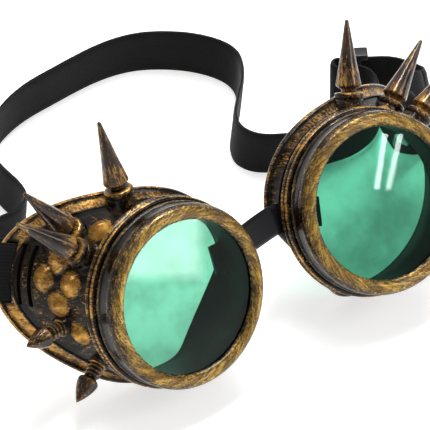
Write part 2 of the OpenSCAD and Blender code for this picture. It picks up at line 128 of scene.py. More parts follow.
def cupMatrix(side):
    # a cup's own frame: X to the nose, Y up, Z out of the lens, millimetres in, metres out
    s, n = cupPlace[side], sides[side]
    tilted = turn(-n * s["toe"]) @ turn(90 - s["lean"], "X") @ turn(n * s["roll"])
    return Matrix.Scale(mm, 4) @ Matrix.Translation(s["centre"]) @ tilted @ Matrix.Diagonal((-n, 1, 1, 1))


cupFrames = {side: cupMatrix(side) for side in sides}

cupShape = {
    "wallD": 57.8, "wallT": 2.0, "wallStart": 12.65, "rimR": 33.0, "rimDepth": 23.6, "cheekDepth": 6.0,
    "templeR": 47.6, "templeDepth": 44.5, "noseCut": 26.6, "beadR": 1.7, "templeAngle": 157, "noseAngle": 325,
    "cheekAngle": 252, "templeSharp": 6.6, "cheekSharp": 3, "noseBlend": 2, "sections": 168, "steps": 18,
    "flange": 4.2, "flangeUp": 0.55, "beadOver": 1.2, "beadUnder": 0.95, "flare": 2.4, "templeFlare": 1.4,
    "minCosine": 0.3,
}


def swell(a, middle, sharp):
    # 1 at the middle angle, none on the far side
    return ((1 + math.cos(math.radians(a - middle))) / 2) ** sharp


def templePart(a):
    return swell(a, cupShape["templeAngle"], cupShape["templeSharp"])


def rimRadius(a):
    # round, swollen at the temple and cut straight at the nose
    s = cupShape
    full = s["rimR"] + (s["templeR"] - s["rimR"]) * templePart(a)
    chord = s["noseCut"] / max(math.cos(math.radians(a - s["noseAngle"])), s["minCosine"])
    return (full + chord - math.hypot(full - chord, s["noseBlend"])) / 2


def rimDeep(a):
    s = cupShape
    return (s["rimDepth"] + (s["templeDepth"] - s["rimDepth"]) * templePart(a)
            + s["cheekDepth"] * swell(a, s["cheekAngle"], s["cheekSharp"]))


def wallEnd(a):
    return rimDeep(a) - cupShape["beadR"] * cupShape["beadUnder"]


def wallPoint(a, t):
    # radius and depth of the wall's outer face, from t = 0 behind the lip to t = 1 at the rim's bead
    s = cupShape
    endR = rimRadius(a) - s["beadR"] * s["beadOver"]
    power = s["flare"] - s["templeFlare"] * templePart(a)
    return (s["wallD"] / 2 + (endR - s["wallD"] / 2) * max(t, 0) ** power,
            s["wallStart"] + (wallEnd(a) - s["wallStart"]) * t)


def wallRadius(a, depth):
    start = cupShape["wallStart"]
    return wallPoint(a, (depth - start) / (wallEnd(a) - start))[0]


def polar(r, a, depth):
    return Vector((r * math.cos(math.radians(a)), r * math.sin(math.radians(a)), -depth))


def onWall(a, depth):
    return polar(wallRadius(a, depth), a, depth)


def wallNormal(a, depth, beside=1, below=0.5):
    acrossWall = onWall(a + beside, depth) - onWall(a - beside, depth)
    downWall = onWall(a, depth + below) - onWall(a, depth - below)
    n = acrossWall.cross(downWall).normalized()
    return n if n.dot(polar(1, a, 0)) > 0 else -n


# mesh helpers: every vertex carries its place in the piece's own frame and how far it is rubbed
def newMesh():
    bm = bmesh.new()
    bm.verts.layers.float_vector.new("grain")
    bm.verts.layers.float.new("rub")
    return bm


def joinRows(bm, grid, closed=False):
    # faces between each round row of corners and the next
    pairs = list(zip(grid, grid[1:]))
    if closed:
        pairs.append((grid[-1], grid[0]))
    for a, b in pairs:
        for j in range(len(a)):
            k = (j + 1) % len(a)
            bm.faces.new((a[j], a[k], b[k], b[j]))


def addRows(bm, rows, place, rowsClosed=False, grainPlace=None):
    # rows of (point, rub) pairs joined one to the next
    grain = bm.verts.layers.float_vector["grain"]
    rub = bm.verts.layers.float["rub"]
    grid = []
    for row in rows:
        line = []
        for point, worn in row:
            v = bm.verts.new(place @ point)
            v[grain] = grainPlace @ point if grainPlace else point
            v[rub] = worn
            line.append(v)
        grid.append(line)
    joinRows(bm, grid, rowsClosed)


def roundTurns(segments):
    return [2 * math.pi * i / segments for i in range(segments)]


def turnedRow(r, z, worn, segments):
    return [(Vector((r * math.cos(t), r * math.sin(t), z)), worn) for t in roundTurns(segments)]


def addTurned(bm, profile, place, segments=72, closed=False, grainPlace=None):
    # profile of (radius, height, rub) turned about the frame's Z
    rows = [turnedRow(*corner, segments) for corner in profile]
    addRows(bm, rows, place, rowsClosed=closed, grainPlace=grainPlace)


def rounded(profile, size=0.25, steps=3, share=0.45):
    # rounds the corners of an open profile of (radius, height, rub), using up to a share of each edge
    out = [profile[0]]
    for i in range(1, len(profile) - 1):
        p, a, b = (Vector(profile[j][:2]) for j in (i, i - 1, i + 1))
        w = profile[i][2]
        cut = min(size, (a - p).length * share, (b - p).length * share)
        one, two = p + (a - p).normalized() * cut, p + (b - p).normalized() * cut
        for k in range(steps + 1):
            t = k / steps
            q = one * (1 - t) ** 2 + p * 2 * t * (1 - t) + two * t * t
            out.append((q.x, q.y, w))
    out.append(profile[-1])
    return out


closeTogether = {"corners": 1e-7, "edges": 1e-8}


def finishMesh(bm, name, material, smoothAngle=40):
    bmesh.ops.remove_doubles(bm, verts=bm.verts, dist=closeTogether["corners"])
    bmesh.ops.dissolve_degenerate(bm, edges=bm.edges, dist=closeTogether["edges"])
    bmesh.ops.recalc_face_normals(bm, faces=bm.faces)
    mesh = meshOf(name, bm)
    mesh.shade_smooth()
    mesh.set_sharp_from_angle(angle=math.radians(smoothAngle))
    mesh.materials.append(material)
    return inScene(name, mesh)


def cutAway(piece, cutter):
    # takes the cutter's space out of a piece and keeps the result
    mod = piece.modifiers.new("cut", "BOOLEAN")
    mod.operation, mod.solver, mod.object = "DIFFERENCE", "EXACT", cutter
    deps = bpy.context.evaluated_depsgraph_get()
    done = bpy.data.meshes.new_from_object(piece.evaluated_get(deps))
    piece.modifiers.clear()
    piece.data = done
    bpy.data.objects.remove(cutter)


# materials
def newMaterial(name):
    mat = bpy.data.materials.new(name)
    mat.use_nodes = True
    tree = mat.node_tree
    tree.nodes.clear()
    out = tree.nodes.new("ShaderNodeOutputMaterial")
    shader = tree.nodes.new("ShaderNodeBsdfPrincipled")
    tree.links.new(shader.outputs[0], out.inputs[0])
    return mat, tree, shader


def attribute(tree, name, output):
    n = tree.nodes.new("ShaderNodeAttribute")
    n.attribute_name = name
    return n.outputs[output]


def feed(tree, node, values):
    # numbers, colours or other nodes' outputs into the named or numbered inputs of a node
    for name, value in values.items():
        if isinstance(value, bpy.types.NodeSocket):
            tree.links.new(value, node.inputs[name])
        else:
            node.inputs[name].default_value = value


def maths(tree, operation, a, b=0.0):
    n = tree.nodes.new("ShaderNodeMath")
    n.operation = operation
    feed(tree, n, {0: a, 1: b})
    return n.outputs[0]


def shares(tree, *parts):
    # the sum of values, each times its share
    total = None
    for value, share in parts:
        part = maths(tree, "MULTIPLY", value, share)
        total = part if total is None else maths(tree, "ADD", total, part)
    return total


def fromMiddle(tree, noise):
    return maths(tree, "SUBTRACT", noise, 0.5)


def split(tree, vector):
    n = tree.nodes.new("ShaderNodeSeparateXYZ")
    feed(tree, n, {0: vector})
    return n.outputs[0], n.outputs[1], n.outputs[2]


def stretched(tree, vector, factors):
    n = tree.nodes.new("ShaderNodeVectorMath")
    n.operation = "MULTIPLY"
    feed(tree, n, {0: vector, 1: factors})
    return n.outputs[0]


def noiseOf(tree, place, stretch, detail, rough, distortion=0.0):
    # noise over a place that is stretched by one factor or by three
    factors = stretch if isinstance(stretch, tuple) else (stretch,) * 3
    n = tree.nodes.new("ShaderNodeTexNoise")
    feed(tree, n, {
        "Vector": stretched(tree, place, factors), "Scale": 1.0, "Detail": detail, "Roughness": rough,
        "Distortion": distortion,
    })
    return n.outputs["Fac"]


def ranged(tree, value, low, high, a=0.0, b=1.0):
    n = tree.nodes.new("ShaderNodeMapRange")
    n.interpolation_type = "SMOOTHSTEP"
    feed(tree, n, {"Value": value, "From Min": low, "From Max": high, "To Min": a, "To Max": b})
    return n.outputs["Result"]


def mixed(tree, factor, a, b):
    n = tree.nodes.new("ShaderNodeMix")
    n.data_type = "RGBA"
    feed(tree, n, {0: factor, 6: a, 7: b})  # a mix of colours reads its inputs 6 and 7
    return n.outputs[2]


def bumped(tree, shader, height, strength, distance):
    n = tree.nodes.new("ShaderNodeBump")
    feed(tree, n, {"Strength": strength, "Distance": distance, "Height": height})
    feed(tree, shader, {"Normal": n.outputs[0]})


def roundAbout(tree, grain, radius, slant):
    # turns a place in a cup's frame into radius, depth and length round the ring, with the brush held aslant
    x, y, z = split(tree, grain)
    r = maths(tree, "SQRT", shares(tree, (x, x), (y, y)))
    around = maths(tree, "MULTIPLY", maths(tree, "ARCTAN2", y, x), radius)
    n = tree.nodes.new("ShaderNodeCombineXYZ")
    feed(tree, n, {0: maths(tree, "ADD", r, maths(tree, "MULTIPLY", around, slant)), 1: z, 2: around})
    return n.outputs[0]


def agedBronze(name, s):
    # dark paint with a bronze haze, brushed with gold where the piece is rubbed
    mat, tree, shader = newMaterial(name)
    grain = attribute(tree, "grain", "Vector")
    rub = attribute(tree, "rub", "Fac")
    path = roundAbout(tree, grain, s["round"], s["slant"]) if s.get("round") else grain
    strokes = noiseOf(tree, path, s["strokes"], *s["strokeNoise"], s["waver"])
    broad = noiseOf(tree, path, s["broad"], *s["broadNoise"])
    blotch = noiseOf(tree, grain, s["blotch"], *s["blotchNoise"])
    speck = noiseOf(tree, grain, s["speck"], *s["speckNoise"])
    worn = shares(tree, (rub, s["rubShare"]), (fromMiddle(tree, strokes), s["strokeShare"]),
                  (fromMiddle(tree, blotch), s["blotchShare"]), (fromMiddle(tree, speck), s["speckShare"]))
    gold = ranged(tree, worn, s["goldFrom"], s["goldTo"])
    misty = shares(tree, (broad, s["hazeBroad"]), (rub, s["hazeRub"]))
    haze = ranged(tree, misty, s["hazeFrom"], s["hazeTo"])
    brown = mixed(tree, haze, s["dark"], s["bronze"])
    goldTone = mixed(tree, ranged(tree, broad, *s["toneRange"]), s["goldDeep"], s["goldLight"])
    metal = shares(tree, (gold, s["goldMetal"]), (haze, s["hazeMetal"]))
    rough = shares(tree, (gold, s["goldRough"] - s["darkRough"]), (fromMiddle(tree, speck), s["speckRough"]))
    height = shares(tree, (strokes, s["strokeHeight"]), (speck, s["speckHeight"]))
    bumped(tree, shader, height, s["bump"], s["bumpDepth"])
    feed(tree, shader, {
        "Base Color": mixed(tree, gold, brown, goldTone), "Metallic": metal,
        "Roughness": maths(tree, "ADD", rough, s["darkRough"]), "Specular IOR Level": s["specular"],
        "Coat Weight": s["coat"], "Coat Roughness": s["coatRough"],
    })
    return mat


bodyPaint = {
    "strokes": (1.5, 1.5, 0.1), "broad": (0.4, 0.4, 0.05), "blotch": 0.09, "speck": 1.5, "waver": 0.12,
    "rubShare": 0.85, "strokeShare": 2.4, "blotchShare": 1.2, "speckShare": 0.3,
    "goldFrom": 0.45, "goldTo": 0.8, "hazeFrom": 0.4, "hazeTo": 0.72, "hazeBroad": 0.7, "hazeRub": 0.35,
    "dark": (0.006, 0.004, 0.003, 1), "bronze": (0.12, 0.08, 0.045, 1), "toneRange": (0.35, 0.68),
    "goldDeep": (0.36, 0.165, 0.026, 1), "goldLight": (0.76, 0.41, 0.09, 1),
    "goldMetal": 0.35, "hazeMetal": 0.15, "goldRough": 0.34, "darkRough": 0.2, "speckRough": 0.16,
    "specular": 0.12, "coat": 0.2, "coatRough": 0.06,
    "strokeNoise": (5.0, 0.72), "broadNoise": (3.0, 0.55), "blotchNoise": (2.0, 0.5),
    "speckNoise": (3.0, 0.6), "strokeHeight": 0.6, "speckHeight": 0.5, "bump": 0.45, "bumpDepth": 0.00018,
}
ringPaint = {
    **bodyPaint, "round": 28.0, "slant": 0.35, "strokes": (1.9, 1.9, 0.3), "broad": (0.5, 0.5, 0.1),
    "waver": 0.4, "blotch": 0.14, "speck": 1.6, "rubShare": 0.8, "strokeShare": 3.2, "blotchShare": 0.7,
    "speckShare": 1.5, "goldFrom": 0.46, "goldTo": 0.95, "goldDeep": (0.2, 0.105, 0.014, 1),
    "goldLight": (0.6, 0.37, 0.065, 1), "bump": 0.6, "coat": 0.26, "coatRough": 0.06,
}
spikePaint = {
    **bodyPaint, "strokes": (1.5, 1.5, 0.09), "broad": (0.5, 0.5, 0.05), "rubShare": 0.55,
    "strokeShare": 2.6, "blotchShare": 0.6, "speckShare": 0.5, "goldFrom": 0.44, "goldTo": 0.7,
    "bronze": (0.075, 0.043, 0.028, 1), "goldDeep": (0.26, 0.12, 0.022, 1),
    "goldLight": (0.56, 0.32, 0.075, 1), "darkRough": 0.18, "coat": 0.6, "coatRough": 0.08,
}
# the faces inside the cups: darker and duller than the outside, without haze or coat
insidePaint = {
    **bodyPaint, "rubShare": 0.2, "dark": (0.004, 0.0035, 0.003, 1), "bronze": (0.012, 0.009, 0.007, 1),
    "specular": 0.08, "coat": 0.0, "darkRough": 0.45, "hazeMetal": 0.0,
}

bodyFinish = agedBronze("agedBody", bodyPaint)
ringFinish = agedBronze("agedRing", ringPaint)
spikeFinish = agedBronze("agedSpike", spikePaint)
insideFinish = agedBronze("darkerInside", insidePaint)

elasticLook = {
    "rib": 1.15, "pick": 0.62, "weave": 1.4, "lint": (0.9, 2.2, 1.0), "lintNoise": (5.0, 0.7),
    "fade": (0.05, 0.12, 1.0), "fadeNoise": (2.0, 0.5), "ribHeight": 0.5, "pickHeight": 0.28,
    "heightTone": 0.22, "lintTone": 0.7, "fadeTone": 0.35, "toneRange": (0.2, 1.0),
    "dark": (0.005, 0.005, 0.0052, 1), "light": (0.018, 0.018, 0.0175, 1), "rough": (0.2, 0.8, 0.78, 0.95),
    "bump": 0.22, "bumpDepth": 0.0002, "specular": 0.15, "sheen": 0.12, "sheenRough": 0.4,
}


def wovenElastic(name, s):
    # lengthwise ribs with a fine pick across them; grain holds length, width and face
    mat, tree, shader = newMaterial(name)
    grain = attribute(tree, "grain", "Vector")
    along, across = split(tree, grain)[:2]
    rib = maths(tree, "SINE", maths(tree, "MULTIPLY", across, 2 * math.pi / s["rib"]))
    pick = maths(tree, "SINE", shares(tree, (along, 2 * math.pi / s["pick"]), (rib, s["weave"])))
    lint = noiseOf(tree, grain, s["lint"], *s["lintNoise"])
    fade = noiseOf(tree, grain, s["fade"], *s["fadeNoise"])
    height = shares(tree, (rib, s["ribHeight"]), (pick, s["pickHeight"]))
    worn = shares(tree, (height, s["heightTone"]), (lint, s["lintTone"]), (fade, s["fadeTone"]))
    tone = ranged(tree, worn, *s["toneRange"])
    bumped(tree, shader, maths(tree, "ADD", height, lint), s["bump"], s["bumpDepth"])
    feed(tree, shader, {
        "Base Color": mixed(tree, tone, s["dark"], s["light"]), "Roughness": ranged(tree, lint, *s["rough"]),
        "Specular IOR Level": s["specular"], "Sheen Weight": s["sheen"], "Sheen Roughness": s["sheenRough"],
    })
    return mat


plasticLook = {
    "own": True, "lineNoise": (4.0, 0.6), "dust": 3.2, "dustNoise": (4.0, 0.75), "toneRange": (0.35, 0.8),
    "roughRange": (0.3, 0.75), "dustHeight": 0.3, "bumpDepth": 0.00012, "specular": 0.5, "metal": 0.0,
}
vinyl = {
    "lines": (0.12, 1.4, 1.0), "rough": (0.1, 0.2), "dark": (0.006, 0.006, 0.009, 1),
    "light": (0.016, 0.016, 0.02, 1), "bump": 0.12,
}
acetal = {
    "lines": (0.5, 0.5, 0.5), "rough": (0.32, 0.48), "dark": (0.012, 0.012, 0.012, 1),
    "light": (0.03, 0.03, 0.031, 1), "bump": 0.2,
}
zincSteel = {
    "own": False, "lines": (0.6, 0.6, 2.0), "rough": (0.25, 0.45), "dark": (0.42, 0.41, 0.38, 1),
    "light": (0.62, 0.61, 0.58, 1), "bump": 0.25, "metal": 0.9,
}
thread = {
    "lines": (2.0, 2.0, 2.0), "rough": (0.6, 0.8), "dark": (0.012, 0.012, 0.012, 1),
    "light": (0.045, 0.045, 0.045, 1), "bump": 0.4,
}


def inMillimetres(tree):
    # a place on a piece of the CAD model, which has no grain of its own
    return stretched(tree, tree.nodes.new("ShaderNodeTexCoord").outputs["Object"], (1 / mm,) * 3)


def smoothPlastic(name, own):
    # a moulded, sheet or drawn piece: faint lines along it, dust and fine scratches
    s = dict(plasticLook, **own)
    mat, tree, shader = newMaterial(name)
    grain = attribute(tree, "grain", "Vector") if s["own"] else inMillimetres(tree)
    lines = noiseOf(tree, grain, s["lines"], *s["lineNoise"])
    dust = noiseOf(tree, grain, s["dust"], *s["dustNoise"])
    height = maths(tree, "ADD", lines, maths(tree, "MULTIPLY", dust, s["dustHeight"]))
    bumped(tree, shader, height, s["bump"], s["bumpDepth"])
    feed(tree, shader, {
        "Base Color": mixed(tree, ranged(tree, dust, *s["toneRange"]), s["dark"], s["light"]),
        "Roughness": ranged(tree, lines, *s["roughRange"], *s["rough"]),
        "Specular IOR Level": s["specular"], "Metallic": s["metal"],
    })
    return mat


stripFinish = smoothPlastic("blackVinyl", vinyl)
sliderFinish = smoothPlastic("blackAcetal", acetal)
screwFinish = smoothPlastic("zincSteel", zincSteel)
threadFinish = smoothPlastic("sewingThread", thread)

lensLook = {
    # the right lens's tint is darker than the left's: painted shade for the shadowed floor seen through it,
    # as both lenses are one plastic
    "tintAndPaintedShade": {"left": (0.155, 0.52, 0.345, 1), "right": (0.095, 0.43, 0.27, 1)},
    "shade": (0.3, 0.84, 0.6, 1), "haze": 0.09, "hazeNoise": (3.0, 0.6), "hazeRange": (0.35, 0.7),
    "deep": 0.72, "dust": 0.55, "dustNoise": (2.0, 0.5), "moteRange": (0.77, 0.8),
    "mote": (0.03, 0.1, 0.07, 1), "rough": (0.45, 0.75, 0.01, 0.03), "bump": 0.01, "bumpDepth": 0.00005,
    "gloss": (0.3, 0.3, 0.3, 1), "ior": 1.49,
}


def tintedLens(name, tintAndPaintedShade, s):
    # clear tinted plastic with dust on it, which throws a tinted shadow; the darker tint of the right lens is
    # painted shade
    mat, tree, shader = newMaterial(name)
    place = inMillimetres(tree)
    haze = noiseOf(tree, place, s["haze"], *s["hazeNoise"])
    dust = noiseOf(tree, place, s["dust"], *s["dustNoise"])
    deep = tuple(c * s["deep"] for c in tintAndPaintedShade[:3]) + (1,)
    tinted = mixed(tree, ranged(tree, haze, *s["hazeRange"]), tintAndPaintedShade, deep)
    bumped(tree, shader, haze, s["bump"], s["bumpDepth"])
    feed(tree, shader, {
        "Base Color": mixed(tree, ranged(tree, dust, *s["moteRange"]), tinted, s["mote"]),
        "Roughness": ranged(tree, haze, *s["rough"]), "Specular Tint": s["gloss"],
        "Transmission Weight": 1.0, "IOR": s["ior"],
    })
    clear = tree.nodes.new("ShaderNodeBsdfTransparent")
    feed(tree, clear, {0: s["shade"]})
    rays = tree.nodes.new("ShaderNodeLightPath")
    mix = tree.nodes.new("ShaderNodeMixShader")
    feed(tree, mix, {0: rays.outputs["Is Shadow Ray"], 1: shader.outputs[0], 2: clear.outputs[0]})
    out = next(n for n in tree.nodes if n.type == "OUTPUT_MATERIAL")
    feed(tree, out, {0: mix.outputs[0]})
    return mat


for side in sides:
    lensFinish = tintedLens(side + "MintLens", lensLook["tintAndPaintedShade"][side], lensLook)
    nodes[side + "_tinted_lens"].material_slots[0].material = lensFinish
    nodes[side + "_spike_screws"].material_slots[0].material = screwFinish
print("materials made")

# eye cups
cupDetail = {
    "neckBore": 25.8, "neckR": 28.3, "neckFront": 4.4, "lipFront": 10.5, "lipBack": 14.8, "lipR": 31.8,
    "ridge": 1.075, "lipFoot": 28.2, "collarD": 9.8, "collarR": 36.9, "wallRoot": 1.2, "bossTop": 6.0,
    "filletOut": 0.6, "filletUp": 0.6, "filletSink": 0.12,
    "cones": {"left": [(98.5, 23, 4, 0.2), (131.5, 27.4, 9, 0), (141, 20.2, 0, 0.9)],
              "right": [(101.3, 22.4, 0, 0.6), (134, 29, -3, -1), (143, 18.6, 0, -0.9)]},
    "bullets": [(184.5, 26, 5, 2), (217.5, 24.5, 6, 0.6)],
    "studs": [(123, 19.8), (148, 26), (158.5, 29.4), (159, 20.8), (171, 25.3), (190, 21.5)],
    "slotAngle": 158.5, "slots": [(41.0, 2.6), (37.6, 1.2), (34.2, 1.2)], "slotLength": 20.0, "slotCut": 10,
    "noseSlot": (5.5, 17.6, 12.4, 2.2), "noseCut": 16, "noseWall": 28.9,
}


def seatMatrix(seat):
    # Z along the axis of something that stands on the wall; a seat is angle, depth, tilt and lowering or lift
    a, depth, tilt = seat[0], seat[1], seat[2]
    foot = wallRadius(a, depth) - cupDetail["wallRoot"]
    return turn(a) @ Matrix.Translation((foot, 0, -depth)) @ turn(90 - tilt, "Y")


def collarTop(seat):
    # height of a collar's top above its seat
    foot = wallRadius(seat[0], seat[1]) - cupDetail["wallRoot"]
    return cupDetail["collarR"] - seat[3] - foot


def surfaceHeight(seat, x, y):
    # how far along the seat's axis the wall's face lies, beside the axis by x and y, found by halving
    place = seatMatrix(seat)
    low, high, halvings = -4.0, 9.0, 14
    for _ in range(halvings):
        z = (low + high) / 2
        p = place @ Vector((x, y, z))
        a = math.degrees(math.atan2(p.y, p.x))
        if math.hypot(p.x, p.y) > wallRadius(a, -p.z):
            high = z
        else:
            low = z
    return (low + high) / 2


def addStanding(bm, side, seat, r, profile, segments=48):
    # a turned boss whose foot runs out onto the wall with a small fillet
    s = cupDetail
    place = seatMatrix(seat)
    wide, tall = s["filletOut"], s["filletUp"]
    rows = []
    for out, up, worn in ((wide, -s["filletSink"], 0.3), (wide * 0.35, tall * 0.3, 0.1), (0.0, tall, 0.25)):
        row = []
        for t in roundTurns(segments):
            x, y = (r + out) * math.cos(t), (r + out) * math.sin(t)
            row.append((Vector((x, y, surfaceHeight(seat, x, y) + up)), worn))
        rows.append(row)
    rows += [turnedRow(*corner, segments) for corner in profile]
    addRows(bm, rows, cupFrames[side] @ place, grainPlace=place)


# a stud: half widths and height, how square and domed it is, how it is rubbed from its foot to its top
studShape = {
    "across": 5.1, "along": 3.9, "height": 3.2, "square": 1.2, "flat": 0.93, "dome": 1.25, "sink": 0.1,
    "footRub": 0.45, "topRub": 0.5, "rubRise": 4,
}


def addStud(bm, side, stud, segments=40, rings=9):
    # a low rounded cone grown from the wall
    s = studShape
    a, depth = stud
    radius = wallRadius(a, depth)
    rows = []
    for k in range(rings + 1):
        share = 1 - k / rings
        tall = s["height"] * (1 - share ** s["dome"]) - (s["sink"] if k == 0 else 0)
        worn = s["footRub"] + s["topRub"] * min(1, (1 - share) * s["rubRise"])
        row = []
        for t in roundTurns(segments):
            sine = math.copysign(abs(math.sin(t)) ** s["square"], math.sin(t))
            aside, down = s["across"] * share * math.cos(t), s["along"] * share * sine
            angle, deep = a + math.degrees(aside / radius), depth + down * s["flat"]
            row.append((onWall(angle, deep) + wallNormal(angle, deep) * tall, worn))
        rows.append(row)
    addRows(bm, rows, cupFrames[side])


# how the wall is rubbed: more at the temple, most on the flange and the bead, below nothing on the faces
# inside, which take a darker finish
wallRub = {
    "wall": (0.1, 0.22, 2), "flange": (0.3, 0.6, 1.2), "flangeTurn": 20, "flangeEdge": 0.25,
    "bead": (0.35, 0.55), "beadEdge": 0.1, "innerFaces": -1.0,
}
flangeSteps = {"count": 6, "first": 0.05, "each": 0.19}
beadTurns = range(-50, 151, 20)


def wallOutside(a, flange):
    # from the lip to the step of the flange, then the raised flange to the bead
    s, f = cupShape, flangeSteps
    plain, swollen, sharp = wallRub["wall"]
    worn = plain + swollen * swell(a, s["templeAngle"], sharp)
    row = []
    for k in range(s["steps"] + 1):
        r, depth = wallPoint(a, flange * k / s["steps"])
        row.append((polar(r, a, depth), worn if k < s["steps"] - 1 else 0.0))
    for k in range(f["count"]):
        r, depth = wallPoint(a, flange + (1 - flange) * (f["first"] + f["each"] * k))
        up = s["flangeUp"] * (1 - k / f["count"])
        row.append((polar(r + up, a, depth), flangeRub(a) if k else wallRub["flangeEdge"]))
    return row


def flangeRub(a):
    plain, swollen, sharp = wallRub["flange"]
    return plain + swollen * swell(a, cupShape["templeAngle"] + wallRub["flangeTurn"], sharp)


def beadRow(a):
    s = cupShape
    endR, endK = rimRadius(a) - s["beadR"], rimDeep(a)
    plain, more = wallRub["bead"]
    row = []
    for b in beadTurns:
        around = math.radians(b)
        q = polar(endR + s["beadR"] * math.cos(around), a, endK + s["beadR"] * math.sin(around))
        row.append((q, wallRub["beadEdge"] if b == beadTurns[0] else plain + more * flangeRub(a)))
    return row


def wallInside(a):
    s = cupShape
    row = []
    for k in range(s["steps"] + 1):
        r, depth = wallPoint(a, 1 - k / s["steps"])
        row.append((polar(r - s["wallT"], a, depth + (s["beadR"] if k == 0 else 0)), wallRub["innerFaces"]))
    return row


def addWall(bm, side):
    s = cupShape
    rows = []
    for i in range(s["sections"]):
        a = 360 * i / s["sections"]
        flange = 1 - s["flange"] / (rimDeep(a) - s["wallStart"])
        rows.append(wallOutside(a, flange) + beadRow(a) + wallInside(a))
    addRows(bm, rows, cupFrames[side], rowsClosed=True)


def boxCutter(name, place, size):
    bm = bmesh.new()
    bmesh.ops.create_cube(bm, size=1, matrix=place @ Matrix.Diagonal((*size, 1)))
    bmesh.ops.recalc_face_normals(bm, faces=bm.faces)
    return inScene(name, meshOf(name, bm))


def slottedWall(side, name):
    # the wall with its slots cut out, as a new mesh that keeps the grain and the rub
    s = cupDetail
    bm = newMesh()
    addWall(bm, side)
    shell = finishMesh(bm, name, bodyFinish)
    about = turn(s["slotAngle"])
    cuts = [(about @ Matrix.Translation((wallRadius(s["slotAngle"], depth), 0, -depth)),
             (s["slotCut"], s["slotLength"], w)) for depth, w in s["slots"]]
    a, depth, length, w = s["noseSlot"]
    place = turn(a) @ Matrix.Translation((s["noseWall"], 0, -depth))
    cuts.append((place, (s["noseCut"], length, w)))
    for place, size in cuts:
        cutAway(shell, boxCutter("slotCutter", cupFrames[side] @ place, size))
    bm = bmesh.new()
    bm.from_mesh(shell.data)
    bpy.data.objects.remove(shell)
    for layer, kind in (("grain", "float_vector"), ("rub", "float")):
        if getattr(bm.verts.layers, kind).get(layer) is None:
            getattr(bm.verts.layers, kind).new(layer)
    return bm


def addNeckAndLip(bm, side):
    s = cupDetail
    half, innerFaces = s["ridge"], wallRub["innerFaces"]
    front, back, r = s["lipFront"], s["lipBack"], s["lipR"]
    profile = [
        (s["neckBore"], -s["neckFront"], innerFaces), (s["neckR"], -s["neckFront"], 0.3), (s["neckR"], -front, 0.0),
        (r - 0.7, -front, 0.2), (r, -front - 0.6, 0.75), (r, -front - half - 0.3, 0.55),
        (r - 0.8, -front - 2 * half, 0.0), (r, -back + half + 0.3, 0.55), (r, -back + 0.5, 0.75),
        (r - 0.8, -back, 0.1), (s["lipFoot"], -back - 0.2, 0.0), (s["neckBore"], -back, innerFaces)]
    addTurned(bm, rounded(profile, 0.3), cupFrames[side], segments=144, closed=True)


def addCollar(bm, side, seat):
    # the round collar that a cone spike stands on
    s = cupDetail
    top = collarTop(seat)
    r = s["collarD"] / 2
    profile = [
        (r - 0.2, top - 2.6, 0.3), (r - 0.5, top - 2.3, 0.1), (r, top - 1.7, 0.35), (r, top - 0.5, 0.5),
        (r - 0.6, top, 0.95), (2.0, top, 0.3), (0.0, top - 0.05, 0.2)]
    addStanding(bm, side, seat, r - 0.2, rounded(profile, 0.2))


def addBoss(bm, side, seat):
    # the low boss under a bullet spike
    r = cupDetail["bossTop"] / 2
    top = cupDetail["wallRoot"] + seat[3]
    profile = [(r + 0.3, top - 0.4, 0.3), (r, top, 0.7), (1.0, top, 0.2), (0.0, top - 0.02, 0.2)]
    addStanding(bm, side, seat, r + 0.4, rounded(profile, 0.2))


def darkerInside(piece):
    # gives the faces inside, whose rub is below nothing, the piece's second material, a darker and duller
    # paint
    piece.data.materials.append(insideFinish)
    rub = piece.data.attributes["rub"].data
    for face in piece.data.polygons:
        mean = sum(rub[v].value for v in face.vertices) / len(face.vertices)
        face.material_index = 1 if mean < wallRub["innerFaces"] / 2 else 0


def makeCup(side):
    s = cupDetail
    name = side + "EyeCup"
    bm = slottedWall(side, name)
    addNeckAndLip(bm, side)
    for seat in s["cones"][side]:
        addCollar(bm, side, seat)
    for seat in s["bullets"]:
        addBoss(bm, side, seat)
    for stud in s["studs"]:
        addStud(bm, side, stud)
    cup = finishMesh(bm, name, bodyFinish, smoothAngle=38)
    darkerInside(cup)
    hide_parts(side + "_eye_cup")
    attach(cup, side + "_cup")


for side in sides:
    makeCup(side)
print("eye cups made")

# lens rings
ringShape = {
    "r": 30.7, "opening": 25.5, "step": 4.4, "length": 9.6, "bore": 29.0, "lensSeat": 27.8, "lip": 2.2,
    "seatEnd": 4.4, "boreStart": 4.6,
}


def makeRing(side):
    s = ringShape
    r, hole, seat, end = s["r"], s["opening"], s["lensSeat"], s["length"]
    profile = [
        (seat, -s["lip"], 0.1), (hole, -s["lip"], 0.3), (hole, -1.5, 0.5), (hole + 0.5, -0.8, 0.75),
        (hole + 1.3, -0.25, 0.95), (hole + 2.3, 0, 1.0), (r - 2, -0.2, 0.95), (r - 1, -0.8, 0.75),
        (r - 0.3, -1.8, 0.5), (r, -2.8, 0.35), (r, -s["step"], 0.5), (r - 0.6, -s["step"] - 0.3, 0.0),
        (r - 0.55, -end + 1.5, 0.12), (r, -end + 1, 0.4), (r, -end + 0.2, 0.5), (r - 0.3, -end, 0.2),
        (s["bore"], -end, 0.1), (s["bore"], -s["boreStart"], 0.1), (seat, -s["seatEnd"], 0.1),
        (seat, -s["lip"], 0.1)]
    bm = newMesh()
    addTurned(bm, rounded(profile, 0.35, 3), cupFrames[side], segments=160)
    ring = finishMesh(bm, side + "LensRing", ringFinish, smoothAngle=50)
    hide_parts(side + "_lens_ring")
    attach(ring, side + "_ring")


for side in sides:
    makeRing(side)
print("lens rings made")

# cone spikes and bullet spikes
coneShape = {
    "length": 21.8, "d": 8.7, "tip": 0.7, "foot": 1.5, "neckD": 5.0, "neckLength": 1.0, "tipSteps": 7,
    "names": ["brow", "upper", "temple"],
}


